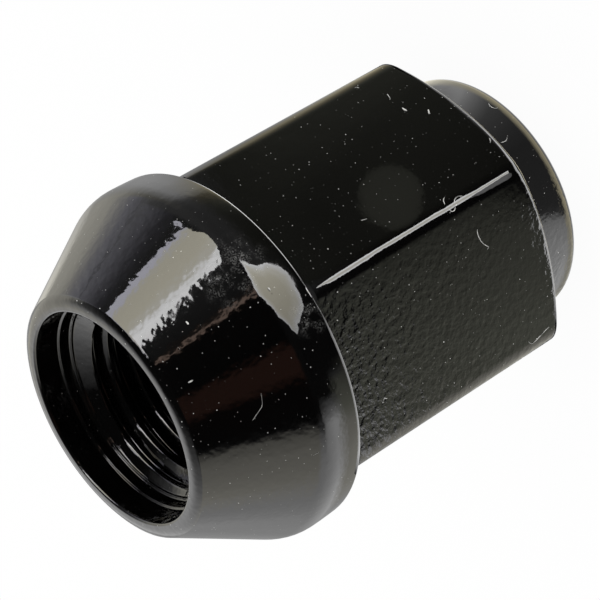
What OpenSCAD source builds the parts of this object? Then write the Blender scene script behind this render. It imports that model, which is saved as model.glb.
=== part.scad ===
// Closed-end lug nut with a bulged conical seat. Sizes are in millimetres.
// It stands on its closed end at z = 0, with the mouth of the thread at the top.
// One hex corner points along -Y and two flats face along X.

/* [Overall] */
// Length from the closed end to the mouth
overall_length = 29.9; // [26:0.1:45]

/* [Hex] */
// Wrench size across two flats
across_flats = 19; // [18:0.5:22]
// Rounding of the six long corners
corner_radius = 1.2; // [0.4:0.1:2.5]
// How far the end chamfer cuts in from the middle of a flat
chamfer_inset = 0.33; // [0.1:0.01:1]
// Slope of the end chamfer, from the end plane, in degrees
chamfer_slope = 26; // [15:1:45]

/* [Closed end] */
// Diameter of the round collar beyond the hex
collar_diameter = 15.7; // [12:0.1:17]
// Height of the collar beyond the hex
collar_height = 3.9; // [2:0.1:8]
// Rounding of the collar's edge
collar_rounding = 0.75; // [0.2:0.05:1.8]
// Metal between the bore's point and the closed end
end_wall = 3.4; // [2:0.1:6]

/* [Seat] */
// Full angle of the conical seat, in degrees
seat_angle = 60; // [50:1:90]
// How far the bulge stands out from the flats
bulge_step = 1.65; // [1.5:0.05:4]
// Length of the straight band behind the seat
band_length = 2.28; // [1:0.02:5]
// Rounding between the seat and the band
shoulder_rounding = 1.5; // [0.3:0.1:3]
// Rounding of the band's back edge
back_edge_rounding = 0.2; // [0.05:0.05:0.4]

/* [Mouth] */
// Width of the rim between the counterbore and the seat
rim_width = 0.75; // [0.7:0.05:2]
// Rounding of the rim's outer edge
rim_rounding = 0.5; // [0.1:0.05:0.8]
// Rounding of the rim's inner edge
mouth_rounding = 0.2; // [0.05:0.05:0.3]
// How much wider than the thread the smooth counterbore is
counterbore_clearance = 1.5; // [1:0.1:2.5]
// Depth of the smooth counterbore
counterbore_depth = 1.6; // [0.5:0.1:5]
// How much wider than the thread the lead-in chamfer ends
lead_in_clearance = 0.6; // [0:0.1:0.9]

/* [Thread] */
// Nominal thread diameter
thread_diameter = 12; // [10:0.5:14]
// Thread pitch
thread_pitch = 1.5; // [1:0.25:2]
// Full angle of the drilled point and of the thread's start, in degrees
drill_angle = 120; // [90:1:140]

/* [Hidden] */
$fn = 96;
// Chords in each small rounding
arc_steps = 8;
// How far joined forms and cuts run into each other
overlap = 1;
paint = [0.05, 0.05, 0.055];

// An internal metric thread's crests stand 5/8 of the triangle's height in from the nominal radius
thread_height = 5/8*thread_pitch*cos(30);
bore_radius = thread_diameter/2 - thread_height;
lead_in_radius = (thread_diameter + lead_in_clearance)/2;
counterbore_radius = (thread_diameter + counterbore_clearance)/2;
mouth_radius = counterbore_radius + rim_width;
bulge_radius = across_flats/2 + bulge_step;
seat_half = seat_angle/2;
seat_length = (bulge_radius - mouth_radius)/tan(seat_half);
shoulder_z = overall_length - seat_length;
bulge_back_z = shoulder_z - band_length;
chamfer_radius = across_flats/2 - chamfer_inset;

function arc(centre, radius, from, to) = [
    for (i = [0:arc_steps])
        let (a = from + (to - from)*i/arc_steps)
        centre + radius*[cos(a), sin(a)]
];

// Seat, shoulder and band, turned from one profile
module bulge() {
    rim_run = rim_rounding*tan((90 - seat_half)/2);
    shoulder_run = shoulder_rounding*tan(seat_half/2);
    back_edge = [bulge_radius - back_edge_rounding, bulge_back_z + back_edge_rounding];
    shoulder = [bulge_radius - shoulder_rounding, shoulder_z - shoulder_run];
    rim = [mouth_radius - rim_run, overall_length - rim_rounding];
    rotate_extrude()
        polygon(concat(
            [[0, bulge_back_z]],
            arc(back_edge, back_edge_rounding, -90, 0),
            arc(shoulder, shoulder_rounding, 0, seat_half),
            arc(rim, rim_rounding, seat_half, 90),
            [[0, overall_length]]
        ));
}

// Outline of the hex, with a rounded corner at each sixth of a turn
module hex_outline() {
    corner_centre = (across_flats/2 - corner_radius)/cos(30);
    polygon([
        for (turn = [30:60:330])
            each arc(corner_centre*[cos(turn), sin(turn)], corner_radius, turn - 30, turn + 30)
    ]);
}

// Hex whose closed end is turned to a cone, which leaves an arc on every flat
module hex_body() {
    top_z = bulge_back_z + overlap;
    clear_radius = across_flats;
    cone_top_z = collar_height + (clear_radius - chamfer_radius)*tan(chamfer_slope);
    intersection() {
        translate([0, 0, collar_height])
            linear_extrude(height = top_z - collar_height)
                hex_outline();
        rotate_extrude()
            polygon([
                [0, collar_height],
                [chamfer_radius, collar_height],
                [clear_radius, cone_top_z],
                [clear_radius, cone_top_z + overall_length],
                [0, cone_top_z + overall_length]
            ]);
    }
}

// Round collar that closes the nut
module collar() {
    collar_radius = collar_diameter/2;
    edge = [collar_radius - collar_rounding, collar_rounding];
    rotate_extrude()
        polygon(concat(
            [[0, 0]],
            arc(edge, collar_rounding, -90, 0),
            [[collar_radius, collar_height + overlap], [0, collar_height + overlap]]
        ));
}

// Rounded mouth, counterbore, lead-in, bore at the thread's crests and drilled point
module bore() {
    drill_half = drill_angle/2;
    mouth_edge = [counterbore_radius + mouth_rounding, overall_length - mouth_rounding];
    counterbore_z = overall_length - counterbore_depth;
    lead_in_z = counterbore_z - (counterbore_radius - lead_in_radius);
    thread_z = lead_in_z - (lead_in_radius - bore_radius)/tan(drill_half);
    rotate_extrude()
        polygon(concat(
            [[0, end_wall], [bore_radius, end_wall + bore_radius/tan(drill_half)]],
            [[bore_radius, thread_z], [lead_in_radius, lead_in_z], [counterbore_radius, counterbore_z]],
            arc(mouth_edge, mouth_rounding, 180, 90),
            [[mouth_edge.x, overall_length + overlap], [0, overall_length + overlap]]
        ));
}

module lug_nut() {
    color(paint)
        difference() {
            union() {
                collar();
                hex_body();
                bulge();
            }
            bore();
        }
}

lug_nut();
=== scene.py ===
"""Looks of a closed-end lug nut in black gloss paint, standing on a white studio floor.

The nut is one dense mesh that stands for the CAD solid and adds its thread, its paint-softened edges,
and the dust and lint that lie on it. Sizes are in millimetres until a mesh is made.
"""

import math

import bmesh
import bpy
from mathutils import Matrix, Vector
from mathutils.bvhtree import BVHTree
from mathutils.interpolate import poly_3d_calc


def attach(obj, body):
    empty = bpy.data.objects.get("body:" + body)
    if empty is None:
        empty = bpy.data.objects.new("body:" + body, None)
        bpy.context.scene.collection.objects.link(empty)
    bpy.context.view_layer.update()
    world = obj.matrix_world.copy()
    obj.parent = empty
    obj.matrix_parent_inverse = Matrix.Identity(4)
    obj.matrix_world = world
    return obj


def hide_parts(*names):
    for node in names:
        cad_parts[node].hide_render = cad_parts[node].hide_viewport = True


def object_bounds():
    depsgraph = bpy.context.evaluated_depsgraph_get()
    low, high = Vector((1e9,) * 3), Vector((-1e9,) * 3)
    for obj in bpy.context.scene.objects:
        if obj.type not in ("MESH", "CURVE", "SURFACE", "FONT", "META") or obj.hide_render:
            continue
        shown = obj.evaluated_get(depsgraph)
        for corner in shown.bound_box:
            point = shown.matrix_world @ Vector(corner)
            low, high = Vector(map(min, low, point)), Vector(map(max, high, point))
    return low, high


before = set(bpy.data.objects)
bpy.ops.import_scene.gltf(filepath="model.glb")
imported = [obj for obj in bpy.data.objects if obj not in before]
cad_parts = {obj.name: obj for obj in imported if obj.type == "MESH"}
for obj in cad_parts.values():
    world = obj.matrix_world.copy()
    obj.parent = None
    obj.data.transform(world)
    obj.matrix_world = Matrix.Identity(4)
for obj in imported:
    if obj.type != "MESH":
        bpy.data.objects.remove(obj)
cad_low, cad_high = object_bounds()

MM = 0.001

# Sizes that the part's source has too
LENGTH = cad_high.z / MM
HEX_SIDES = 6
ACROSS_FLATS = 19.0
CORNER_RADIUS = 1.2
CHAMFER_RADIUS = 9.17
CHAMFER_SLOPE = math.radians(26)
COLLAR_RADIUS = 7.85
COLLAR_HEIGHT = 3.9
COLLAR_ROUNDING = 0.75
END_WALL = 3.4
BULGE_RADIUS = min(-cad_low.x, cad_high.x, -cad_low.y, cad_high.y) / MM
SEAT_HALF_DEGREES = 30
MOUTH_RADIUS = 7.5
THREAD_DIAMETER = 12.0
THREAD_PITCH = 1.5
THREAD_FLANK_ANGLE = math.radians(30)
DRILL_HALF_ANGLE = math.radians(60)

# Sizes that the part's source has with other values
BAND_LENGTH = 2.54
BACK_EDGE_ROUNDING = 0.3
SHOULDER_ROUNDING = 2.5
RIM_ROUNDING = 0.2
MOUTH_ROUNDING = 0.16
COUNTERBORE_RADIUS = 6.62
COUNTERBORE_DEPTH = 1.65
LEAD_IN_RADIUS = 6.25

# Sizes that only the looks need
BAND_CROWN_RADIUS = 24.0
RIM_CROWN_RADIUS = 1.1
RIM_CROWN_EDGE = 55.0
INNER_FILLET = 0.25
CREASE_SOFTENING = 0.18
CORNER_SOFTENING = 0.42
LEAD_IN_DEPTH = 0.88
LEDGE_WIDTH = 0.15
LEDGE_SPACING = 0.72
LEDGE_WALL_LEAN = 0.03
LEDGE_SOFTENING = 0.01
THREAD_TURNS = 11.0
THREAD_SOFTENING = 0.035
CREST_START_ANGLE = 120.0
CREST_START_DEPTH = 2.54
# The fillet behind the bulge takes at most this share of the face there
FILLET_SHARE = 0.6

# Places that follow from those sizes
SIDE_DEGREES = 360 / HEX_SIDES
HALF_SIDE = math.radians(SIDE_DEGREES / 2)
APOTHEM = ACROSS_FLATS / 2
CORNER_CENTRE = (APOTHEM - CORNER_RADIUS) / math.cos(HALF_SIDE)
CORNER_TOP_RADIUS = CORNER_CENTRE + CORNER_RADIUS
SEAT_HALF_ANGLE = math.radians(SEAT_HALF_DEGREES)
THREAD_HEIGHT = 5 / 8 * THREAD_PITCH * math.cos(THREAD_FLANK_ANGLE)
BORE_RADIUS = THREAD_DIAMETER / 2 - THREAD_HEIGHT
SHOULDER_Z = LENGTH - (BULGE_RADIUS - MOUTH_RADIUS) / math.tan(SEAT_HALF_ANGLE)
BULGE_BACK_Z = SHOULDER_Z - BAND_LENGTH
COUNTERBORE_Z = LENGTH - COUNTERBORE_DEPTH
LEAD_IN_Z = COUNTERBORE_Z - LEAD_IN_DEPTH
SECOND_LEDGE = (COUNTERBORE_RADIUS - LEDGE_WIDTH - LEDGE_WALL_LEAN, COUNTERBORE_Z - LEDGE_SPACING)
THREAD_Z = LEAD_IN_Z - (LEAD_IN_RADIUS - BORE_RADIUS) / math.tan(DRILL_HALF_ANGLE)
THREAD_END_Z = THREAD_Z - THREAD_TURNS * THREAD_PITCH
BORE_END_Z = END_WALL + BORE_RADIUS / math.tan(DRILL_HALF_ANGLE)
CREST_START_Z = LENGTH - CREST_START_DEPTH
CREST_HALF = THREAD_PITCH / 8
ROOT_HALF = THREAD_PITCH / 16

# Camera at the photograph's angle, with the photograph's roll
CAMERA_TARGET = Vector((0.061, -6.462, 19.176))
CAMERA_DISTANCE = 148.9
CAMERA_AZIMUTH = math.radians(-1.4547)
CAMERA_ELEVATION = math.radians(31.0684)
CAMERA_ROLL = math.radians(-121.076)
CAMERA_LENS = 160.594
CAMERA_SENSOR = 36.0
CAMERA_CLIP_METRES = (0.005, 100)
PICTURE_SIZE = 600

LEVEL_RIGHT = Vector((math.cos(CAMERA_AZIMUTH), math.sin(CAMERA_AZIMUTH), 0))
OUTWARD = Vector((math.sin(CAMERA_AZIMUTH), -math.cos(CAMERA_AZIMUTH), 0))
VIEW_BACK = OUTWARD * math.cos(CAMERA_ELEVATION) + Vector((0, 0, math.sin(CAMERA_ELEVATION)))
LEVEL_UP = VIEW_BACK.cross(LEVEL_RIGHT)
VIEW_RIGHT = LEVEL_RIGHT * math.cos(CAMERA_ROLL) + LEVEL_UP * math.sin(CAMERA_ROLL)
VIEW_UP = LEVEL_UP * math.cos(CAMERA_ROLL) - LEVEL_RIGHT * math.sin(CAMERA_ROLL)
CAMERA_PLACE = CAMERA_TARGET + VIEW_BACK * CAMERA_DISTANCE


def make_camera():
    data = bpy.data.cameras.new("camera")
    data.lens = CAMERA_LENS
    data.sensor_width = CAMERA_SENSOR
    data.clip_start, data.clip_end = CAMERA_CLIP_METRES
    camera = bpy.data.objects.new("camera", data)
    turn = Matrix((VIEW_RIGHT, VIEW_UP, VIEW_BACK)).transposed().to_4x4()
    camera.matrix_world = Matrix.Translation(CAMERA_PLACE * MM) @ turn
    bpy.context.scene.collection.objects.link(camera)
    bpy.context.scene.camera = camera


def view_direction(pixel):
    """Direction from the camera through a point of the picture, counted from its upper left corner."""
    across = (pixel[0] / PICTURE_SIZE - 0.5) * CAMERA_SENSOR / CAMERA_LENS
    down = (pixel[1] / PICTURE_SIZE - 0.5) * CAMERA_SENSOR / CAMERA_LENS
    return (VIEW_RIGHT * across - VIEW_UP * down - VIEW_BACK).normalized()


class PictureSurface:
    """Finds the nut's surface at points of the picture, in millimetres."""

    def __init__(self, nut):
        self.data = nut.data
        self.places = [vertex.co / MM for vertex in self.data.vertices]
        self.tree = BVHTree.FromPolygons(self.places, [face.vertices for face in self.data.polygons])

    def at(self, pixel):
        """The point that a picture point shows, and the smooth normal there."""
        hit, _, index, _ = self.tree.ray_cast(CAMERA_PLACE, view_direction(pixel))
        corners = self.data.polygons[index].vertices
        shares = poly_3d_calc([self.places[v] for v in corners], hit)
        normal = Vector()
        for vertex, share in zip(corners, shares):
            normal += self.data.vertices[vertex].normal * share
        return hit, normal.normalized()

    def mirrored(self, pixel, distance):
        """The point at a distance in front of the paint that is mirrored at a picture point."""
        place, normal = self.at(pixel)
        return place + view_direction(pixel).reflect(normal) * distance


# Columns of the mesh run the whole length of the nut and are closest at the six corners. On a flat they
# lie at its middle and at these distances to both sides of it.
FLAT_PLACES = (4.7, 4.45, 4.0, 3.5, 3.0, 2.5, 2.0, 1.5, 1.0, 0.5)
CORNER_STEPS = 12

# Rings of the mesh lie at these radii and heights, at these shares of a straight stretch, and in
# these numbers of steps on a rounding
CLOSED_END_RADII = (2.0, 4.5, 6.2)
CLOSED_END_EDGE_GAP = 0.2
COLLAR_RING_HEIGHTS = (1.0, 1.8, 2.6, 3.3)
HEX_END_RADII = (8.25, 8.7, 9.0)
CHAMFER_START_GAP = 0.05
CHAMFER_SHARES = (0.0, 0.4, 0.8, 0.95)
WALL_SHARES = (0.01, 0.04, 0.12, 0.23, 0.34, 0.45, 0.56, 0.67, 0.78, 0.88, 0.96, 0.99)
FACE_SHARES = (0.1, 0.5, 0.9)
SEAT_SHARES = (0.02, 0.08, 0.2, 0.35, 0.5, 0.65, 0.8, 0.92, 0.98)
COUNTERBORE_SHARES = (0.05, 0.3, 0.6, 0.9, 0.98)
LEDGE_WALL_SHARES = (0.0, 0.1, 0.5, 0.95)
BORE_SHARES = (0.1, 0.5, 0.95, 1.0)
BORE_POINT_SHARES = (0.04, 0.3, 0.6, 0.9)
COLLAR_STEPS = 9
FILLET_STEPS = 5
CREASE_STEPS = 6
EDGE_STEPS = 8
BAND_STEPS = 10
SHOULDER_STEPS = 14
MOUTH_STEPS = 7

# Rows of one thread pitch, by their distance from the middle of a crest
THREAD_ROWS = (0.0, 0.13, 0.1875, 0.22, 0.3, 0.42, 0.54, 0.625, 0.656, 0.7)
# Turns that run on past both ends of the thread and are cut off there
SPARE_TURNS = 2
# Points closer than this are one
MERGE_DISTANCE = 0.002


def arc(centre_r, centre_z, radius, start, end, steps):
    """Points of a rounding in the nut's section, as radius and height, between two angles in degrees."""
    points = []
    for i in range(steps + 1):
        angle = math.radians(start + (end - start) * i / steps)
        points.append((centre_r + radius * math.cos(angle), centre_z + radius * math.sin(angle)))
    return points


def between(first, last, shares):
    """Points on the straight line from one section point to another."""
    return [tuple(a + (b - a) * share for a, b in zip(first, last)) for share in shares]


def hex_columns():
    """The angle of each column, and the hex's radius there."""
    along_flat = list(FLAT_PLACES) + [0.0] + [-t for t in reversed(FLAT_PLACES)]
    columns = []
    for corner in range(HEX_SIDES):
        corner_angle = math.radians((corner + 0.5) * SIDE_DEGREES)
        for i in range(CORNER_STEPS + 1):
            turn = math.radians((i / CORNER_STEPS - 0.5) * SIDE_DEGREES)
            x = CORNER_CENTRE + CORNER_RADIUS * math.cos(turn)
            y = CORNER_RADIUS * math.sin(turn)
            columns.append((corner_angle + math.atan2(y, x), math.hypot(x, y)))
        for t in along_flat:
            angle = corner_angle + HALF_SIDE - math.atan2(t, APOTHEM)
            columns.append((angle, math.hypot(APOTHEM, t)))
    return columns


COLUMNS = hex_columns()


def round_rings(points):
    """Each section point turned into a ring of equal radius and height."""
    return [[point] * len(COLUMNS) for point in points]


def hex_rings(section):
    """section(hex radius) gives one column's points, and the rings run across all the columns."""
    by_column = [section(hex_radius) for _, hex_radius in COLUMNS]
    return [list(ring) for ring in zip(*by_column)]


def closed_end_points():
    """The closed end, the collar and the face from there to the hex's end chamfer."""
    edge_r = COLLAR_RADIUS - COLLAR_ROUNDING
    points = [(radius, 0.0) for radius in CLOSED_END_RADII]
    points.append((edge_r - CLOSED_END_EDGE_GAP, 0.0))
    points += arc(edge_r, COLLAR_ROUNDING, COLLAR_ROUNDING, -90, 0, COLLAR_STEPS)
    points += [(COLLAR_RADIUS, z) for z in COLLAR_RING_HEIGHTS]
    fillet_r = COLLAR_RADIUS + INNER_FILLET
    fillet_z = COLLAR_HEIGHT - INNER_FILLET
    points += arc(fillet_r, fillet_z, INNER_FILLET, 180, 90, FILLET_STEPS)
    points += [(radius, COLLAR_HEIGHT) for radius in HEX_END_RADII]
    return points


def crease_z(hex_radius):
    """Height of the crease between the hex and its end chamfer."""
    return COLLAR_HEIGHT + (hex_radius - CHAMFER_RADIUS) * math.tan(CHAMFER_SLOPE)


def crease_points(before, crease, after):
    """A softened crease: a curve from before the crease to after it, drawn towards the crease."""
    points = []
    for i in range(CREASE_STEPS + 1):
        f = i / CREASE_STEPS
        points.append(tuple(before * (1 - f) ** 2 + crease * 2 * f * (1 - f) + after * f ** 2))
    return points


def hex_section(hex_radius):
    """One column from the end chamfer, over its softened crease and up the wall, to the bulge's back."""
    slope = Vector((math.cos(CHAMFER_SLOPE), math.sin(CHAMFER_SLOPE)))
    crease = Vector((hex_radius, crease_z(hex_radius)))
    corner_share = (hex_radius - APOTHEM) / (CORNER_TOP_RADIUS - APOTHEM)
    softening = CREASE_SOFTENING + (CORNER_SOFTENING - CREASE_SOFTENING) * corner_share ** 2
    before = crease - slope * softening
    after = crease + Vector((0, softening))
    start = Vector((CHAMFER_RADIUS, COLLAR_HEIGHT)) + slope * CHAMFER_START_GAP
    points = between(start, before, CHAMFER_SHARES)
    points += crease_points(before, crease, after)
    face_end = (BULGE_RADIUS - BACK_EDGE_ROUNDING, BULGE_BACK_Z)
    fillet = min(INNER_FILLET, FILLET_SHARE * (face_end[0] - hex_radius))
    face_start = (hex_radius + fillet, BULGE_BACK_Z)
    wall_top = (hex_radius, BULGE_BACK_Z - fillet)
    points += between(after, wall_top, WALL_SHARES)
    points += arc(face_start[0], wall_top[1], fillet, 180, 90, FILLET_STEPS)
    points += between(face_start, face_end, FACE_SHARES)
    return points


def band_points(shoulder_z):
    """The bulge's back edge and its crowned band, up to the shoulder."""
    crown_r = BULGE_RADIUS - BAND_CROWN_RADIUS
    edge_distance = BAND_CROWN_RADIUS - BACK_EDGE_ROUNDING
    edge_z = BULGE_BACK_Z + BACK_EDGE_ROUNDING
    crown = math.asin((shoulder_z - edge_z) / edge_distance)
    edge_r = crown_r + edge_distance * math.cos(crown)
    crown_start = -math.degrees(crown)
    points = arc(edge_r, edge_z, BACK_EDGE_ROUNDING, -90, crown_start, EDGE_STEPS)
    points += arc(crown_r, shoulder_z, BAND_CROWN_RADIUS, crown_start, 0, BAND_STEPS)[1:-1]
    return points


def rim_points():
    """The rim from the seat to its top: a tight rounding that runs on into a flatter crown."""
    edge = math.radians(RIM_CROWN_EDGE)
    inward = RIM_CROWN_RADIUS - RIM_ROUNDING
    crown_z = LENGTH - RIM_CROWN_RADIUS
    round_z = crown_z + inward * math.sin(edge)
    seat_run = (LENGTH - round_z) * math.tan(SEAT_HALF_ANGLE) - RIM_ROUNDING / math.cos(SEAT_HALF_ANGLE)
    round_r = MOUTH_RADIUS + seat_run
    crown_r = round_r - inward * math.cos(edge)
    points = arc(round_r, round_z, RIM_ROUNDING, SEAT_HALF_DEGREES, RIM_CROWN_EDGE, EDGE_STEPS)
    points += arc(crown_r, crown_z, RIM_CROWN_RADIUS, RIM_CROWN_EDGE, 90, EDGE_STEPS)[1:]
    return points


def lead_in_points():
    """The lead-in down to the thread: two narrow ledges, each with a steep wall below it."""
    soft = LEDGE_SOFTENING
    points = []
    outer_r, outer_z = COUNTERBORE_RADIUS, COUNTERBORE_Z
    for inner_r, inner_z in (SECOND_LEDGE, (LEAD_IN_RADIUS, LEAD_IN_Z)):
        ledge_r = outer_r - LEDGE_WIDTH
        points += [(outer_r - 1.5 * soft, outer_z), (ledge_r + 2 * soft, outer_z - soft)]
        wall_top = (ledge_r, outer_z - 3 * soft)
        wall_foot = (inner_r + soft, inner_z + soft)
        points += between(wall_top, wall_foot, LEDGE_WALL_SHARES)
        outer_r, outer_z = inner_r, inner_z
    return points


def seat_points():
    """The band, the shoulder, the conical seat and the rim, down through the counterbore to the thread."""
    shoulder_z = SHOULDER_Z - SHOULDER_ROUNDING * math.tan(SEAT_HALF_ANGLE / 2)
    shoulder_r = BULGE_RADIUS - SHOULDER_ROUNDING
    shoulder = arc(shoulder_r, shoulder_z, SHOULDER_ROUNDING, 0, SEAT_HALF_DEGREES, SHOULDER_STEPS)
    rim = rim_points()
    mouth_r = COUNTERBORE_RADIUS + MOUTH_ROUNDING
    mouth_z = LENGTH - MOUTH_ROUNDING
    wall_top = (COUNTERBORE_RADIUS, mouth_z)
    wall_foot = (COUNTERBORE_RADIUS, COUNTERBORE_Z)
    points = band_points(shoulder_z)
    points += shoulder
    points += between(shoulder[-1], rim[0], SEAT_SHARES)
    points += rim
    points += between(rim[-1], (mouth_r, LENGTH), FACE_SHARES)
    points += arc(mouth_r, mouth_z, MOUTH_ROUNDING, 90, 180, MOUTH_STEPS)
    points += between(wall_top, wall_foot, COUNTERBORE_SHARES)
    points += lead_in_points()
    return points


def thread_depth(offset):
    """Depth of the thread's groove at a distance from the middle of a crest, along the axis."""
    flank = (THREAD_PITCH / 2 - ROOT_HALF) - CREST_HALF
    away = (abs(offset) - CREST_HALF) / flank
    soft = THREAD_SOFTENING / flank
    low = 0.5 * (away + math.sqrt(away * away + soft * soft))
    top = 0.5 * (low + 1 - math.sqrt((low - 1) ** 2 + soft * soft))
    return THREAD_HEIGHT * max(0.0, top)


def thread_offsets():
    """Heights of the rows of one pitch, from above the middle of a crest to below it."""
    below = [-offset for offset in THREAD_ROWS[1:]] + [-THREAD_PITCH / 2]
    return list(reversed(THREAD_ROWS)) + below


def lead_in_radius(z):
    """Radius of the cone that cuts off the thread's first turns."""
    return LEAD_IN_RADIUS - (LEAD_IN_Z - z) * math.tan(DRILL_HALF_ANGLE)


def thread_rows():
    """Rows that climb one pitch in each turn, cut off flat at the lead-in and at the thread's end."""
    first_turn = math.ceil((LEAD_IN_Z - CREST_START_Z) / THREAD_PITCH) + SPARE_TURNS
    last_turn = math.floor((THREAD_END_Z - CREST_START_Z) / THREAD_PITCH) - SPARE_TURNS
    rows = []
    for turn in range(first_turn, last_turn, -1):
        for offset in thread_offsets():
            row = []
            for angle, _ in COLUMNS:
                climb = THREAD_PITCH * (math.degrees(angle) - CREST_START_ANGLE) / 360
                z = CREST_START_Z + climb + THREAD_PITCH * turn + offset
                z = min(LEAD_IN_Z, max(THREAD_END_Z, z))
                fade = min(1.0, (z - THREAD_END_Z) / THREAD_PITCH)
                row.append((max(BORE_RADIUS + thread_depth(offset) * fade, lead_in_radius(z)), z))
            rows.append(row)
    return rows


def bore_end_points():
    """The bore below the thread, and its drilled point."""
    foot = (BORE_RADIUS, BORE_END_Z)
    points = between((BORE_RADIUS, THREAD_END_Z), foot, BORE_SHARES)
    points += between(foot, (0.0, END_WALL), BORE_POINT_SHARES)
    return points


def add_ring(mesh, ring):
    verts = []
    for (angle, _), (radius, z) in zip(COLUMNS, ring):
        place = Vector((radius * math.cos(angle), radius * math.sin(angle), z))
        verts.append(mesh.verts.new(place * MM))
    return verts


def join_rings(mesh, lower, upper, seam_upper=None, seam_lower=None):
    """Faces between two rings. On a helix the last column meets other rows' first columns."""
    count = len(lower)
    for j in range(count):
        last = j == count - 1
        lower_next = (seam_lower or lower)[0] if last else lower[j + 1]
        upper_next = (seam_upper or upper)[0] if last else upper[j + 1]
        corners = [lower[j], lower_next, upper_next, upper[j]]
        mesh.faces.new(list(dict.fromkeys(corners)))


def join_all(mesh, rings):
    for lower, upper in zip(rings, rings[1:]):
        join_rings(mesh, lower, upper)


def close_end(mesh, ring, z):
    tip = mesh.verts.new(Vector((0, 0, z)) * MM)
    for j, vert in enumerate(ring):
        mesh.faces.new((vert, tip, ring[(j + 1) % len(ring)]))


def smooth_object(mesh, name, data_name):
    """A smooth object of a finished mesh."""
    bmesh.ops.recalc_face_normals(mesh, faces=mesh.faces)
    for face in mesh.faces:
        face.smooth = True
    data = bpy.data.meshes.new(data_name)
    mesh.to_mesh(data)
    mesh.free()
    obj = bpy.data.objects.new(name, data)
    bpy.context.scene.collection.objects.link(obj)
    return obj


def make_nut():
    mesh = bmesh.new()
    outside = round_rings(closed_end_points()) + hex_rings(hex_section) + round_rings(seat_points())
    rings = [add_ring(mesh, ring) for ring in outside]
    join_all(mesh, rings)
    close_end(mesh, rings[0], 0.0)
    rows = [add_ring(mesh, row) for row in thread_rows()]
    join_rings(mesh, rings[-1], rows[0])
    pitch_rows = len(thread_offsets())
    for i in range(len(rows) - 1):
        seam_lower = rows[max(0, i - pitch_rows)]
        seam_upper = rows[max(0, i + 1 - pitch_rows)]
        join_rings(mesh, rows[i], rows[i + 1], seam_upper, seam_lower)
    ends = [add_ring(mesh, ring) for ring in round_rings(bore_end_points())]
    join_rings(mesh, rows[-1], ends[0])
    join_all(mesh, ends)
    close_end(mesh, ends[-1], END_WALL)
    bmesh.ops.remove_doubles(mesh, verts=mesh.verts, dist=MERGE_DISTANCE * MM)
    return smooth_object(mesh, "lug_nut_painted", "lug_nut_paint")


class Shading:
    """A new material, with short ways to add nodes to it."""

    def __init__(self, name):
        self.material = bpy.data.materials.new(name)
        self.material.use_nodes = True
        self.nodes = self.material.node_tree.nodes
        self.links = self.material.node_tree.links
        self.nodes.clear()

    def add(self, kind, inputs=None, operation=None, data_type=None):
        """A node of a kind. Each input is set to a value, or linked to another node's output."""
        node = self.nodes.new(kind)
        if operation:
            node.operation = operation
        if data_type:
            node.data_type = data_type
        for socket, value in (inputs or {}).items():
            if isinstance(value, bpy.types.NodeSocket):
                self.links.new(value, node.inputs[socket])
            else:
                node.inputs[socket].default_value = value
        return node

    def place(self):
        """Where a point lies on the object, in metres."""
        return self.add("ShaderNodeTexCoord").outputs["Object"]

    def math(self, operation, *values):
        return self.add("ShaderNodeMath", dict(enumerate(values)), operation).outputs["Value"]

    def vector_math(self, operation, *values):
        return self.add("ShaderNodeVectorMath", dict(enumerate(values)), operation).outputs

    def noise(self, place, scale, detail):
        """Noise over the object, with scale in features per mm."""
        inputs = {"Vector": place, "Scale": scale / MM, "Detail": detail}
        return self.add("ShaderNodeTexNoise", inputs).outputs

    def ranged(self, value, from_low, from_high, to_low, to_high):
        """A value carried from one range to another, and kept within it."""
        inputs = {
            "Value": value,
            "From Min": from_low,
            "From Max": from_high,
            "To Min": to_low,
            "To Max": to_high,
        }
        return self.add("ShaderNodeMapRange", inputs).outputs["Result"]

    def pattern(self, place, scale, detail, *ranges):
        """Noise over the object, carried from one range to another."""
        return self.ranged(self.noise(place, scale, detail)["Fac"], *ranges)

    def bump(self, height, depth, normal):
        """Bump with its depth in mm, on top of another bump if there is one."""
        inputs = {"Height": height, "Distance": depth * MM}
        if normal is not None:
            inputs["Normal"] = normal
        return self.add("ShaderNodeBump", inputs).outputs["Normal"]

    def colour_mix(self, share, first, second):
        inputs = {"Factor": share, "A": first, "B": second}
        return self.add("ShaderNodeMix", inputs, data_type="RGBA").outputs["Result"]

    def finish(self, shader):
        """The material, with the last shader as its surface."""
        self.add("ShaderNodeOutputMaterial", {"Surface": shader})
        return self.material


# Specks of dust: their spacing and radius in mm, the share that is kept, and how dim most of those are
FINE_SPECKS = (0.25, 0.034, 0.6, 3.2)
COARSE_SPECKS = (0.9, 0.045, 0.26, 0.6)
SPECK_CORE = 0.4
# Their edges are ragged by noise, with its features per mm, its detail and its reach in mm
RAGGED_SCALE = 14
RAGGED_DETAIL = 2.0
RAGGED_REACH = 0.09
# The share of the dust that lies in the bore, and the width in mm of the change at its edge
BORE_DUST = 0.25
BORE_DUST_FADE = 0.1


def add_specks(kit, place, spacing, radius, keep, dimness):
    """Scattered specks: one in each cell of a given spacing, a share of them kept, most of those dim."""
    cells = kit.add("ShaderNodeTexVoronoi", {"Vector": place, "Scale": 1 / (spacing * MM)}).outputs
    chance = kit.add("ShaderNodeSeparateColor", {"Color": cells["Color"]}).outputs
    edge = radius / spacing
    near = kit.ranged(cells["Distance"], edge, edge * SPECK_CORE, 0, 1)
    kept = kit.math("LESS_THAN", chance["Red"], keep)
    bright = kit.math("POWER", chance["Green"], dimness)
    return kit.math("MULTIPLY", near, kit.math("MULTIPLY", kept, bright))


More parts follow.
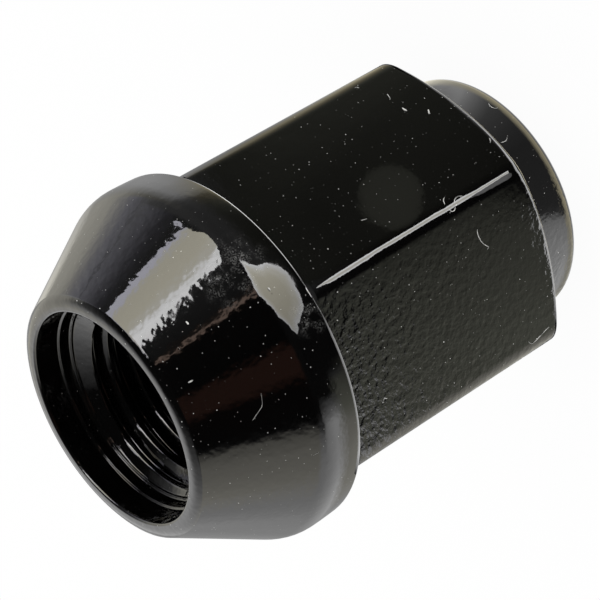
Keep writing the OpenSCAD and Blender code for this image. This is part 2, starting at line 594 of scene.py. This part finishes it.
def add_dust(kit, place):
    """Fine dim specks and a few coarser grains with ragged edges, and little of them in the bore."""
    ragged = kit.noise(place, RAGGED_SCALE, RAGGED_DETAIL)["Color"]
    reach = [RAGGED_REACH * MM] * 3
    shifted = kit.vector_math("MULTIPLY_ADD", ragged, reach, place)["Vector"]
    specks = [add_specks(kit, shifted, *kind) for kind in (FINE_SPECKS, COARSE_SPECKS)]
    across = kit.vector_math("MULTIPLY", place, (1, 1, 0))["Vector"]
    from_axis = kit.vector_math("LENGTH", across)["Value"]
    bore_edge = COUNTERBORE_RADIUS * MM
    outside = kit.ranged(from_axis, bore_edge, bore_edge + BORE_DUST_FADE * MM, BORE_DUST, 1)
    return kit.math("MULTIPLY", kit.math("MAXIMUM", *specks), outside)


# Where fine grey powder lies on the paint, in the picture, with the radius of each patch in mm
# The pale colour of these patches is partly a painted glow of the highlights beside them, and partly
# rougher paint.
POWDER_AND_GLOW = (((241, 256), 1.7), ((229, 282), 1.6), ((309, 317), 1.3))
POWDER_AND_GLOW_CORE = 0.2
# Patterns: features per mm, detail, the range of the noise, and what the ends of that range turn into
POWDER_AND_GLOW_GRAINS = (11.0, 4.0, 0.45, 0.75, 0.0, 0.22)
POWDER_AND_GLOW_CLOUDS = (1.6, 2.0, 0.42, 0.66, 0.0, 1.0)


def add_patch(kit, place, middle, radius):
    """A soft round patch about a point in mm, from 1 in its middle to 0 at its radius."""
    away = kit.vector_math("DISTANCE", place, middle * MM)["Value"]
    return kit.ranged(away, radius * MM, radius * POWDER_AND_GLOW_CORE * MM, 0, 1)


def add_powder_and_glow(kit, place, surface):
    """Fine grey powder in cloudy patches, whose pale colour is partly a painted glow of the highlights
    beside them.
    """
    grains = kit.pattern(place, *POWDER_AND_GLOW_GRAINS)
    clouds = kit.pattern(place, *POWDER_AND_GLOW_CLOUDS)
    patches = 0.0
    for pixel, radius in POWDER_AND_GLOW:
        patch = add_patch(kit, place, surface.at(pixel)[0], radius)
        patches = kit.math("MAXIMUM", patches, patch)
    return kit.math("MULTIPLY", kit.math("MULTIPLY", grains, clouds), patches)


# Orange peel: features per mm, detail, and depth in mm
BROAD_WAVES = (0.5, 1.0, 0.010)
SEAT_PEEL = (2.0, 1.0, 0.012)
HEX_PEEL = (2.4, 2.0, 0.075)
FINE_GRAIN = (5.0, 1.0, 0.0016)
# The seat's peel grows between these heights in mm above the bulge's back, and these shares of its depth
SEAT_PEEL_RISE = (1.2, 2.6)
SEAT_PEEL_SHARES = (0.3, 1.0)
# The hex's peel grows from this height to the bulge's back, ends there, and grows from one x to another
HEX_PEEL_FOOT = 6.0
HEX_PEEL_SHARES = (0.5, 1.0)
HEX_PEEL_END = 0.1
HEAVY_SIDE = (0.4, -2.2)


def add_peel(kit, place):
    """Orange peel: broad waves and a fine grain all over, a peel on the seat, and a coarse one on the hex.

    The coarse one is on the side of the hex that took most paint, and deepens towards the bulge.
    """
    split = kit.add("ShaderNodeSeparateXYZ", {"Vector": place}).outputs
    back_z = BULGE_BACK_Z * MM
    seat_rise = [back_z + height * MM for height in SEAT_PEEL_RISE]
    on_seat = kit.ranged(split["Z"], *seat_rise, *SEAT_PEEL_SHARES)
    along_hex = kit.ranged(split["Z"], HEX_PEEL_FOOT * MM, back_z, *HEX_PEEL_SHARES)
    before_bulge = kit.ranged(split["Z"], back_z, back_z + HEX_PEEL_END * MM, 1.0, 0.0)
    heavy_side = kit.ranged(split["X"], *[x * MM for x in HEAVY_SIDE], 0.0, 1.0)
    on_hex = kit.math("MULTIPLY", kit.math("MULTIPLY", along_hex, before_bulge), heavy_side)
    layers = ((BROAD_WAVES, None), (SEAT_PEEL, on_seat), (HEX_PEEL, on_hex), (FINE_GRAIN, None))
    normal = None
    for (scale, detail, depth), share in layers:
        height = kit.noise(place, scale, detail)["Fac"]
        if share is not None:
            height = kit.math("MULTIPLY", height, share)
        normal = kit.bump(height, depth, normal)
    return normal


PAINT_IOR = 1.5
PAINT_COLOUR = (0.0012, 0.0011, 0.0011, 1)
# The pale colour of the dust specks, and of the painted glow in the powder patches
DUST_AND_GLOW_COLOUR = (0.88, 0.87, 0.84, 1)
DUST_ROUGHNESS = 0.7
# The gloss is a little uneven: features per mm, detail, the noise's range, and the roughness at its ends
GLOSS_HAZE = (0.8, 2.0, 0.35, 0.7, 0.03, 0.07)


def paint_material(surface):
    """Near-black gloss paint with dust and powder on it, and a painted glow of the highlights in the
    powder patches.
    """
    kit = Shading("black_gloss_paint")
    place = kit.place()
    # Pale dust specks, and powder patches whose pale colour is partly a painted glow of the highlights
    dust_and_glow = kit.math("MAXIMUM", add_dust(kit, place), add_powder_and_glow(kit, place, surface))
    haze = kit.pattern(place, *GLOSS_HAZE)
    inputs = {
        "IOR": PAINT_IOR,
        "Base Color": kit.colour_mix(dust_and_glow, PAINT_COLOUR, DUST_AND_GLOW_COLOUR),
        "Roughness": kit.math("MULTIPLY_ADD", dust_and_glow, DUST_ROUGHNESS, haze),
        "Normal": add_peel(kit, place),
    }
    return kit.finish(kit.add("ShaderNodeBsdfPrincipled", inputs).outputs["BSDF"])


# Lint that lies on the paint, as strokes through points of the picture
LINT = (
    ((488.5, 103), (489.5, 105.5), (492, 107.5), (495, 108.5), (498, 108)),
    ((500.5, 142.6), (503, 142.2), (505.5, 141), (507, 138.8), (506.5, 137.6)),
    ((489, 138), (490.5, 141), (490, 143)),
    ((445, 197), (443.5, 199.5), (443.8, 202), (445, 205)),
    ((454, 204.5), (454.5, 200), (457, 197), (460, 196.2), (463, 196.5)),
    ((449, 210), (452, 211.5), (454.5, 210), (455, 207)),
    ((477, 229), (477.3, 233), (479.5, 239), (483, 243.5), (486, 245.5), (488.5, 247), (487, 249.5)),
    ((528, 341), (529.5, 342.8), (532.5, 343.3), (538, 338), (545, 330.5), (549, 327)),
    ((387.5, 398.5), (384, 398.5), (383, 401), (382.2, 402.5), (384, 402.3)),
    ((387, 94), (388.5, 96), (390, 98.5), (389.7, 100)),
    ((361, 220.5), (364, 219.8), (367, 218.8)),
    ((354.5, 88), (357, 87.4), (359, 88.2)),
)
FINE_LINT = (
    ((261, 393), (262, 400), (262, 406), (259, 411), (255.5, 416), (252.5, 420.5)),
    ((312.5, 455.5), (316, 454), (319, 452.3)),
)
FLECKS = (
    ((402, 108.2), (404.5, 110), (407, 111.3)),
    ((428.3, 110), (428.6, 112), (429.3, 114.2)),
    ((267.5, 288), (269, 289), (270, 291)),
    ((186, 321.5), (187.5, 323), (188.5, 324.5)),
    ((188, 382.5), (190.5, 381.5), (193, 380)),
)
LINT_RADIUS = 0.02
FINE_LINT_RADIUS = 0.008
FLECK_RADIUS = 0.045
LINT_SIDES = 6
LINT_STEPS = 4
# Shares of a fibre's radius: how high its middle lies above the paint, and how thick its tips are
LINT_LIFT = 0.7
LINT_TIP = 0.35
# A fibre's ends narrow over one part in this many of its length
LINT_TAPER = 6
LINT_ROUGHNESS = 0.7
LINT_DARK = (0.24, 0.24, 0.23, 1)
LINT_PALE = (0.78, 0.77, 0.74, 1)
LINT_STRETCHES = (2.5, 1.0, 0.35, 0.6, 0.0, 1.0)


def curve_point(before, start, end, after, f):
    """A point between start and end on the curve that runs on smoothly past both."""
    bend = (end - before) * f + (2 * before - 5 * start + 4 * end - after) * f ** 2
    return start + 0.5 * (bend + (3 * start - before - 3 * end + after) * f ** 3)


def stroke_points(stroke):
    """Picture points along a smooth curve through a stroke's points."""
    points = [Vector(p) for p in stroke]
    points = [2 * points[0] - points[1]] + points + [2 * points[-1] - points[-2]]
    curve = []
    for before, start, end, after in zip(points, points[1:], points[2:], points[3:]):
        for j in range(LINT_STEPS):
            curve.append(curve_point(before, start, end, after, j / LINT_STEPS))
    return curve + [points[-2]]


def add_fibre(mesh, surface, stroke, thickness):
    """One fibre that lies on the paint, as a tube with thinner ends."""
    path = []
    for pixel in stroke_points(stroke):
        place, normal = surface.at(pixel)
        path.append((place + normal * thickness * LINT_LIFT, normal))
    rings = []
    for i, (place, normal) in enumerate(path):
        ahead = path[min(i + 1, len(path) - 1)][0] - path[max(i - 1, 0)][0]
        side = ahead.cross(normal).normalized()
        share = i / (len(path) - 1)
        fullness = min(1.0, LINT_TAPER * share, LINT_TAPER * (1 - share))
        radius = thickness * (LINT_TIP + (1 - LINT_TIP) * fullness)
        ring = []
        for k in range(LINT_SIDES):
            turn = 2 * math.pi * k / LINT_SIDES
            offset = side * math.cos(turn) + normal * math.sin(turn)
            ring.append(mesh.verts.new((place + radius * offset) * MM))
        rings.append(ring)
    join_all(mesh, rings)
    mesh.faces.new(rings[0])
    mesh.faces.new(rings[-1])


def lint_material():
    """Pale dull fibre, with darker stretches along it."""
    kit = Shading("pale_lint")
    stretches = kit.pattern(kit.place(), *LINT_STRETCHES)
    inputs = {
        "Base Color": kit.colour_mix(stretches, LINT_DARK, LINT_PALE),
        "Roughness": LINT_ROUGHNESS,
    }
    return kit.finish(kit.add("ShaderNodeBsdfPrincipled", inputs).outputs["BSDF"])


def make_lint(surface):
    """Thin fibres and a few thicker flecks on the paint."""
    mesh = bmesh.new()
    kinds = ((LINT, LINT_RADIUS), (FINE_LINT, FINE_LINT_RADIUS), (FLECKS, FLECK_RADIUS))
    for strokes, thickness in kinds:
        for stroke in strokes:
            add_fibre(mesh, surface, stroke, thickness)
    lint = smooth_object(mesh, "lint", "lint")
    lint.data.materials.append(lint_material())
    return lint


FLOOR_RADIUS_METRES = 4
FLOOR_SIDES = 96
FLOOR_COLOUR = (0.96, 0.96, 0.96, 1)
FLOOR_GLOW_SHARE = 0.95


def floor_material():
    """White, most of it its own glow for the camera and for reflections. The rest keeps the shadow."""
    kit = Shading("white_floor")
    rays = kit.add("ShaderNodeLightPath").outputs
    seen = kit.math("MAXIMUM", rays["Is Camera Ray"], rays["Is Glossy Ray"])
    seen = kit.math("MAXIMUM", seen, rays["Is Transmission Ray"])
    share = kit.math("MULTIPLY", seen, FLOOR_GLOW_SHARE)
    plain = kit.add("ShaderNodeBsdfDiffuse", {"Color": FLOOR_COLOUR}).outputs["BSDF"]
    glow = kit.add("ShaderNodeEmission").outputs["Emission"]
    mixed = kit.add("ShaderNodeMixShader", {"Fac": share, 1: plain, 2: glow}).outputs["Shader"]
    kit.material.cycles.emission_sampling = "NONE"
    return kit.finish(mixed)


def make_floor():
    bpy.ops.mesh.primitive_circle_add(
        vertices=FLOOR_SIDES, radius=FLOOR_RADIUS_METRES, fill_type="NGON"
    )
    floor = bpy.context.object
    floor.name = "floor"
    floor.data.materials.append(floor_material())


def make_world():
    world = bpy.data.worlds.new("studio")
    world.use_nodes = True
    background = world.node_tree.nodes["Background"]
    background.inputs["Color"].default_value = (1, 1, 1, 1)
    background.inputs["Strength"].default_value = 1.0
    bpy.context.scene.world = world


# The studio round the nut, as the paint mirrors it: rims from the floor beside the nut to the zenith.
# A rim is a radius and a height in mm with its glow by azimuth, in degrees from -Y towards +X. A glow is
# a strength, or a strength and a tint.
CREAM = (1.0, 0.95, 0.78)
WARM = (1.0, 0.97, 0.86)
WHITE = (1.0, 1.0, 1.0)
BROWN = (1.0, 0.72, 0.58)
MAROON = (1.0, 0.45, 0.32)
TAN = (1.0, 0.9, 0.62)
OLIVE = (1.0, 1.02, 0.84)
LILAC = (0.97, 0.96, 1.08)
DOME_RADIUS = 300.0
FLOOR_GAP = 0.05
SURROUND_COLUMNS = 182


def floor_rim(radius, stops):
    return radius, FLOOR_GAP, stops


def dome_rim(elevation, stops):
    angle = math.radians(elevation)
    return DOME_RADIUS * math.cos(angle), max(FLOOR_GAP, DOME_RADIUS * math.sin(angle)), stops


UNDER_COLLAR = {-180: 0.5, -75: (0.8, WARM), -50: (2.1, CREAM), -20: (3.2, TAN), 30: (3.2, TAN),
                60: (1.9, CREAM), 180: 0.5}
BESIDE_COLLAR = {-180: 0.3, -100: 0.7, -80: 1.3, -62: 2.2, -48: 2.5, -40: 2.4, -34: 2.1, -30: 0.4,
                 -25: 0.28, 10: 0.25, 20: 0.35, 36: 0.6, 45: 1.25, 56: 2.0, 66: 1.3, 78: 0.85, 120: 0.5,
                 180: 0.3}
BY_HEX = {-180: 0.25, -140: 0.45, -110: (0.85, WARM), -90: (1.4, WARM), -72: (1.3, WARM),
          -62: (0.95, OLIVE), -52: (0.67, OLIVE), -45: (0.57, OLIVE), -36: (0.48, OLIVE),
          -30: (0.25, OLIVE), -26: 0.04, -20: 0.01, 0: 0.02, 20: (0.05, OLIVE), 40: (0.11, OLIVE),
          54: (0.16, OLIVE), 62: (0.29, OLIVE), 68: (0.42, OLIVE), 76: (0.75, TAN), 90: (1.5, TAN),
          108: (0.95, WARM), 120: 0.7, 140: 0.45, 180: 0.3}
BESIDE_HEX = {-180: 0.25, -140: 0.45, -110: (0.95, WARM), -90: (1.5, WARM), -72: (1.3, WARM),
              -62: (0.8, OLIVE), -52: (0.53, OLIVE), -45: (0.4, OLIVE), -38: (0.2, OLIVE), -34: 0.03,
              -28: 0.01, 0: 0.02, 20: (0.04, OLIVE), 40: (0.075, OLIVE), 54: (0.1, OLIVE),
              62: (0.2, OLIVE), 68: (0.34, OLIVE), 76: (0.75, TAN), 90: (1.5, TAN), 108: (0.95, WARM),
              120: 0.7, 140: 0.45, 180: 0.3}
UNDER_BAND = {-180: 0.25, -140: 0.5, -110: (1.0, WARM), -90: (1.35, WARM), -72: (1.4, WARM),
              -62: (0.92, OLIVE), -52: (0.7, OLIVE), -46: (0.54, OLIVE), -42: 0.25, -38: 0.04,
              -34: 0.02, 0: 0.03, 14: 0.12, 40: (0.1, OLIVE), 62: (0.13, OLIVE), 74: (0.2, OLIVE),
              82: (0.4, TAN), 90: (1.4, WARM), 108: 1.3, 120: 1.0, 140: 0.5, 180: 0.25}
BESIDE_BAND = {-180: 0.2, -150: 0.45, -110: 1.8, -78: 2.5, -66: 2.9, -58: 1.1, -50: 0.03, -20: 0.02,
               8: 0.16, 30: 0.27, 70: 0.24, 82: 0.3, 86: 0.5, 94: 1.35, 106: 1.3, 120: 1.0, 135: 0.6,
               150: 0.4, 165: 0.25, 180: 0.2}
FAR_FLOOR = {-180: 0.4, -168: 0.45, -158: 0.6, -148: 0.7, -110: 1.75, -78: 2.3, -66: 2.1, -58: 0.6,
             -50: 0.02, -20: 0.02, 30: 0.2, 80: 0.35, 104: (0.75, WARM), 125: (1.25, WARM),
             138: (1.1, WARM), 144: (0.9, WARM), 152: (1.6, WARM), 158: (1.7, WARM), 165: 0.6, 180: 0.4}
LEVEL = {-180: 0.8, -160: 0.8, -139: 1.2, -90: 1.95, -76: 1.5, -66: 0.28, -58: 0.02, 35: 0.05, 40: 0.33,
         90: 0.36, 104: 0.62, 114: (1.0, LILAC), 130: (1.5, WARM), 145: (1.2, WARM), 160: 0.8, 180: 0.8}
FRONT = {-180: 1.9, -150: 1.8, -110: (1.9, WARM), -82: (1.6, WARM), -71: (1.1, WARM), -66: 0.1,
         -62: 0.01, -40: (0.01, MAROON), -34: (0.2, MAROON), -19: (0.2, MAROON), -15: 0.0, 13: 0.01,
         16.8: (0.02, BROWN), 17.8: (2.1, BROWN), 18.6: (1.4, BROWN), 19.4: (0.12, BROWN), 23: 0.1,
         38: 0.15, 80: 0.18, 88: (0.3, LILAC), 97: (0.7, LILAC), 107: (1.15, LILAC), 109: (0.6, LILAC),
         111: (1.2, LILAC), 120: 1.8, 135: (1.9, WARM), 155: (1.6, WARM), 170: (1.7, WARM), 180: 1.9}
HIGH = {-180: 1.7, -150: 1.4, -125: 1.3, -100: 1.1, -85: 0.4, -75: 0.02, 100: 0.05, 115: 0.2, 130: 0.35,
        145: 0.5, 160: 1.4, 180: 1.7}
STEEP = {-180: 0.05, -140: 0.5, -115: 0.6, -101: 0.3, -85: 0.02, 120: 0.02, 150: 0.05, 180: 0.05}
ZENITH = {-180: 0.02, 180: 0.02}
SURROUND = (
    floor_rim(7.9, UNDER_COLLAR),
    floor_rim(8.5, UNDER_COLLAR),
    floor_rim(8.9, BESIDE_COLLAR),
    floor_rim(14.0, BESIDE_COLLAR),
    floor_rim(14.6, BY_HEX),
    floor_rim(34.0, BESIDE_HEX),
    floor_rim(42.0, UNDER_BAND),
    floor_rim(46.0, BESIDE_BAND),
    floor_rim(120.0, FAR_FLOOR),
    dome_rim(0, LEVEL),
    dome_rim(8, LEVEL),
    dome_rim(15, FRONT),
    dome_rim(34, FRONT),
    dome_rim(45, HIGH),
    dome_rim(62, STEEP),
    dome_rim(76, ZENITH),
    dome_rim(89.9, ZENITH),
)

# A narrow ring in front, just below the bulge's back, for the bright line on its edge. For each of its
# rows: how far outside the bulge the row lies in mm, and its glow, both by azimuth.
EDGE_RING_DROP = 0.3
EDGE_RING_COLUMNS = 63
EDGE_RING_ROWS = (
    (
        {-66: -0.65, -14: -0.65, -6: -0.42, 60: -0.42},
        {-66: 0.0, -56: 0.3, -14: 0.4, -5: 0.2, 4: 0.2, 10: 1.7, 40: 2.0, 60: 0.0},
    ),
    (
        {-66: -0.24, 60: -0.24},
        {-66: 0.0, -56: 1.8, -14: 1.9, -5: 0.3, 4: 0.3, 10: 3.2, 40: 4.0, 60: 0.0},
    ),
    (
        {-66: 0.42, -14: 0.42, -6: -0.09, 60: -0.09},
        {-66: 0.0, -56: 3.4, -14: 3.6, -5: 0.4, 4: 0.4, 10: 4.4, 40: 5.2, 60: 0.0},
    ),
)

# A ring below the end of the hex, for the bright line on its crease: how far below the crease it lies,
# how far outside the hex its two edges are, and its glow
CREASE_RING_DROP = 2.8
CREASE_RING_OUTWARD = (0.85, 2.85)
CREASE_RING_GLOW = {-62: 0.0, -50: 5.0, 0: 6.0, 30: 5.5, 46: 2.0, 56: 0.0}

# A softbox at the side, about a middle point at the seat: the elevations of its foot and its top by
# azimuth, and its glow. At one end only its upper part goes on, which the rim mirrors.
SIDE_SOFTBOX_FOOT = {36: 30.2, 39: 29, 42: 27.8, 45: 25.5, 47: 20, 49: 13, 53: 6, 57: 4, 61: 6, 66: 12,
                     71: 16, 76: 16.5, 78.4: 17.5, 81.2: 20, 81.6: 62, 96: 66}
SIDE_SOFTBOX_TOP = {36: 62, 81.2: 76, 96: 76}
SIDE_SOFTBOX_GLOW = {36: (11.5, WHITE), 46: (12.5, WHITE), 49.5: (11.0, WHITE), 53: (7.2, WARM),
                     60: (6.7, CREAM), 70: (6.2, CREAM), 73: (6.0, WARM), 75.5: (6.2, LILAC),
                     81.2: (6.4, LILAC), 92: 6.0, 96: 0.0}
SIDE_SOFTBOX_MIDDLE = Vector((4.5, -7.5, 26.5))
SIDE_SOFTBOX_RADIUS = 260.0
SIDE_SOFTBOX_COLUMNS = 120

# Cards that the paint mirrors inside these outlines of the picture, by their distance in mm. A glow has
# the share of the way from the middle to the outline, a strength and a tint.
LEAF_OUTLINE = ((240, 260.5), (247, 263), (255, 265), (261.5, 265.5), (264.5, 262.8), (271, 263.5),
                (280, 267.5), (289, 274), (294, 282), (298, 291), (302.5, 301), (303, 308),
                (301.5, 317), (298, 324), (298.5, 328), (297, 333.5), (292.5, 329.5), (286, 323.3),
                (278.5, 316.8), (274.3, 309.5), (265.3, 301.5), (257.8, 293.8), (252.8, 284.6),
                (246.5, 272), (242.2, 264.5))
LEAF_MIDDLE = (272, 294)
LEAF_DISTANCE = 5.0
LEAF_GLOW = ((0.0, 5.6, CREAM), (0.55, 5.6, CREAM), (0.8, 6.4, WARM), (0.93, 7.3, WHITE),
             (1.0, 8.5, WHITE))
# The share of the leaf's glow that is lost with each pixel across and down from its middle
LEAF_FADE = (0.0075, 0.0045)
NO_FADE = (0, 0)
ISLAND_OUTLINE = ((173, 222), (177, 221), (183, 224), (181, 227), (176, 225))
ISLAND_MIDDLE = (178, 224)
ISLAND_GLOW = ((0.0, 6.0, LILAC), (1.0, 6.0, LILAC))
DISC_MIDDLE = (391, 197)
DISC_SIZE = 34
DISC_STEPS = 16
DISC_DISTANCE = 12.0
DISC_GLOW = ((0.0, 0.3, OLIVE), (0.75, 0.28, OLIVE), (0.92, 0.24, OLIVE), (1.0, 0.14, OLIVE))
WEDGE_OUTLINE = ((470, 197), (478.5, 195.2), (490, 189.3), (501.5, 183), (511.5, 176.7), (509, 172.7),
                 (488, 185.9))
WEDGE_MIDDLE = (493, 185)
WEDGE_GLOW = ((0.0, 1.9, WHITE), (0.7, 1.8, WHITE), (1.0, 1.2, WHITE))
OUTLINE_STEPS = 3
SMALLEST_SHARE = 0.02

# A strip that the corner in front mirrors along a line of the picture: by the distance along the line,
# how far the highlight reaches to its upper and its lower side, all in pixels, and its glow across
RIDGE_START = Vector((312, 291))
RIDGE_END = Vector((512, 170))
RIDGE_UPPER = {5: 0.5, 11: 1.7, 22: 2.3, 45: 2.7, 67: 3.0, 90: 3.0, 120: 2.6, 145: 3.0, 156: 2.4,
               178: 3.0, 189: 1.7, 230: 1.7}
RIDGE_LOWER = {5: -0.2, 11: 0.6, 22: 2.4, 45: 2.1, 67: 1.8, 78: 0.5, 90: 1.3, 120: 1.1, 145: 1.4,
               178: 2.0, 189: 1.3, 230: 1.0}
RIDGE_DISTANCE = 1.6
RIDGE_GLOW = ((0.0, 13.0, WHITE), (0.22, 11.0, WHITE), (0.4, 7.4, WARM), (0.6, 7.2, WARM),
              (0.8, 10.0, WHITE), (1.0, 11.0, WHITE))
RIDGE_COLUMNS = 45


def disc_outline():
    """Picture points round the disc."""
    turns = [2 * math.pi * i / DISC_STEPS for i in range(DISC_STEPS)]
    middle = Vector(DISC_MIDDLE)
    return [middle + DISC_SIZE * Vector((math.cos(turn), math.sin(turn))) for turn in turns]


def between_stops(stops, place):
    """The value at a place, between the two stops nearest to it."""
    places = sorted(stops)
    place = min(max(place, places[0]), places[-1])
    for low, high in zip(places, places[1:]):
        if place <= high:
            return stops[low] + (stops[high] - stops[low]) * ((place - low) / (high - low))


def glow_at(stops, azimuth):
    """Colour of a glow at an azimuth. A stop without a tint is white."""
    colours = {}
    for place, stop in stops.items():
        strength, tint = stop if isinstance(stop, tuple) else (stop, WHITE)
        colours[place] = Vector(tint) * strength
    return between_stops(colours, azimuth)


def even_places(stops, count):
    """Places in equal steps from the first to the last of some stops."""
    start, end = min(stops), max(stops)
    return [start + (end - start) * j / count for j in range(count + 1)]


def ring_place(radius, azimuth, height):
    """A point by its distance from the axis, its azimuth in degrees and its height."""
    angle = math.radians(azimuth)
    return Vector((radius * math.sin(angle), -radius * math.cos(angle), height))


def surround_grid():
    """Points and glows of the studio's surround, rim by rim."""
    rows = []
    for radius, height, stops in SURROUND:
        row = []
        for azimuth in even_places(stops, SURROUND_COLUMNS):
            row.append((ring_place(radius, azimuth, height), glow_at(stops, azimuth)))
        rows.append(row)
    return rows


def side_softbox_grid():
    """Points and glows of the side softbox, from its foot to its top."""
    rows = []
    for edge in (SIDE_SOFTBOX_FOOT, SIDE_SOFTBOX_TOP):
        row = []
        for azimuth in even_places(edge, SIDE_SOFTBOX_COLUMNS):
            up = math.radians(between_stops(edge, azimuth))
            direction = ring_place(math.cos(up), azimuth, math.sin(up))
            place = SIDE_SOFTBOX_MIDDLE + SIDE_SOFTBOX_RADIUS * direction
            row.append((place, glow_at(SIDE_SOFTBOX_GLOW, azimuth)))
        rows.append(row)
    return rows


def edge_ring_grid():
    """Points and glows of the ring below the bulge's back, wider where the edge's line is wider."""
    height = BULGE_BACK_Z - EDGE_RING_DROP
    rows = []
    for outward, glow in EDGE_RING_ROWS:
        row = []
        for azimuth in even_places(glow, EDGE_RING_COLUMNS):
            radius = BULGE_RADIUS + between_stops(outward, azimuth)
            row.append((ring_place(radius, azimuth, height), glow_at(glow, azimuth)))
        rows.append(row)
    return rows


def crease_ring_grid():
    """Points and glows of the ring that follows the end of the hex below its crease."""
    rows = []
    for outward in CREASE_RING_OUTWARD:
        row = []
        for angle, hex_radius in COLUMNS:
            azimuth = (math.degrees(angle) + 90 + 180) % 360 - 180
            height = crease_z(hex_radius) - CREASE_RING_DROP
            place = ring_place(hex_radius + outward, azimuth, height)
            row.append((place, glow_at(CREASE_RING_GLOW, azimuth)))
        rows.append(row + row[:1])
    return rows


def smooth_loop(outline):
    """A closed loop of picture points with rounded corners, through all the points of an outline."""
    points = [Vector(p) for p in outline]
    count = len(points)
    loop = []
    for i in range(count):
        before, start, end, after = (points[(i + k) % count] for k in (-1, 0, 1, 2))
        for j in range(OUTLINE_STEPS):
            loop.append(curve_point(before, start, end, after, j / OUTLINE_STEPS))
    return loop + [loop[0]]


def mirrored_grid(surface, outline, middle, distance, glow_rings, fade):
    """Points and glows of a card that the paint mirrors inside an outline, from its middle to its edge."""
    middle = Vector(middle)
    loop = smooth_loop(outline)
    rows = []
    for share, strength, tint in glow_rings:
        row = []
        for point in loop:
            pixel = middle.lerp(point, max(share, SMALLEST_SHARE))
            kept = 1 - Vector(fade).dot(pixel - middle)
            row.append((surface.mirrored(pixel, distance), Vector(tint) * strength * kept))
        rows.append(row)
    return rows


def ridge_grid(surface):
    """Points and glows of the strip that the corner in front mirrors, from its upper to its lower side."""
    along = (RIDGE_END - RIDGE_START).normalized()
    down = Vector((-along.y, along.x))
    rows = []
    for share, strength, tint in RIDGE_GLOW:
        row = []
        for distance in even_places(RIDGE_UPPER, RIDGE_COLUMNS):
            upper = between_stops(RIDGE_UPPER, distance)
            lower = between_stops(RIDGE_LOWER, distance)
            pixel = RIDGE_START + along * distance + down * (lower * share - upper * (1 - share))
            row.append((surface.mirrored(pixel, RIDGE_DISTANCE), Vector(tint) * strength))
        rows.append(row)
    return rows


def card_material():
    """A glow that each point of a card holds."""
    kit = Shading("studio_card")
    colour = kit.add("ShaderNodeAttribute")
    colour.attribute_name = "glow"
    kit.material.cycles.emission_sampling = "NONE"
    glow = kit.add("ShaderNodeEmission", {"Color": colour.outputs["Color"]})
    return kit.finish(glow.outputs["Emission"])


def glossy_only(obj):
    """Lets a card show in the paint's reflections and nowhere else."""
    obj.visible_camera = False
    obj.visible_diffuse = False
    obj.visible_transmission = False
    obj.visible_volume_scatter = False
    obj.visible_shadow = False


def make_card(name, grid, material):
    """A card from rows of points with their glows."""
    width = len(grid[0])
    points = [item for row in grid for item in row]
    faces = []
    for i in range(len(grid) - 1):
        for j in range(width - 1):
            corner = i * width + j
            faces.append((corner, corner + 1, corner + width + 1, corner + width))
    data = bpy.data.meshes.new(name)
    data.from_pydata([place * MM for place, _ in points], [], faces)
    layer = data.color_attributes.new("glow", "FLOAT_COLOR", "POINT")
    for item, (_, glow) in zip(layer.data, points):
        item.color = (*glow, 1)
    card = bpy.data.objects.new(name, data)
    bpy.context.scene.collection.objects.link(card)
    data.materials.append(material)
    glossy_only(card)


def make_cards(surface):
    """All the cards that the paint mirrors."""
    material = card_material()
    make_card("studio_surround", surround_grid(), material)
    make_card("ridge_card", ridge_grid(surface), material)
    make_card("edge_ring", edge_ring_grid(), material)
    make_card("crease_ring", crease_ring_grid(), material)
    make_card("side_softbox", side_softbox_grid(), material)
    mirrored_cards = (
        ("near_softbox", LEAF_OUTLINE, LEAF_MIDDLE, LEAF_DISTANCE, LEAF_GLOW, LEAF_FADE),
        ("small_card", ISLAND_OUTLINE, ISLAND_MIDDLE, LEAF_DISTANCE, ISLAND_GLOW, NO_FADE),
        ("ridge_end_card", WEDGE_OUTLINE, WEDGE_MIDDLE, RIDGE_DISTANCE, WEDGE_GLOW, NO_FADE),
        ("round_card", disc_outline(), DISC_MIDDLE, DISC_DISTANCE, DISC_GLOW, NO_FADE),
    )
    for name, *picture in mirrored_cards:
        make_card(name, mirrored_grid(surface, *picture), material)


scene = bpy.context.scene
scene.view_settings.view_transform = "Standard"
make_camera()
nut = make_nut()
surface = PictureSurface(nut)
nut.data.materials.append(paint_material(surface))
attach(nut, "root")
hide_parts("lug_nut")
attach(make_lint(surface), "root")
make_floor()
make_world()
make_cards(surface)
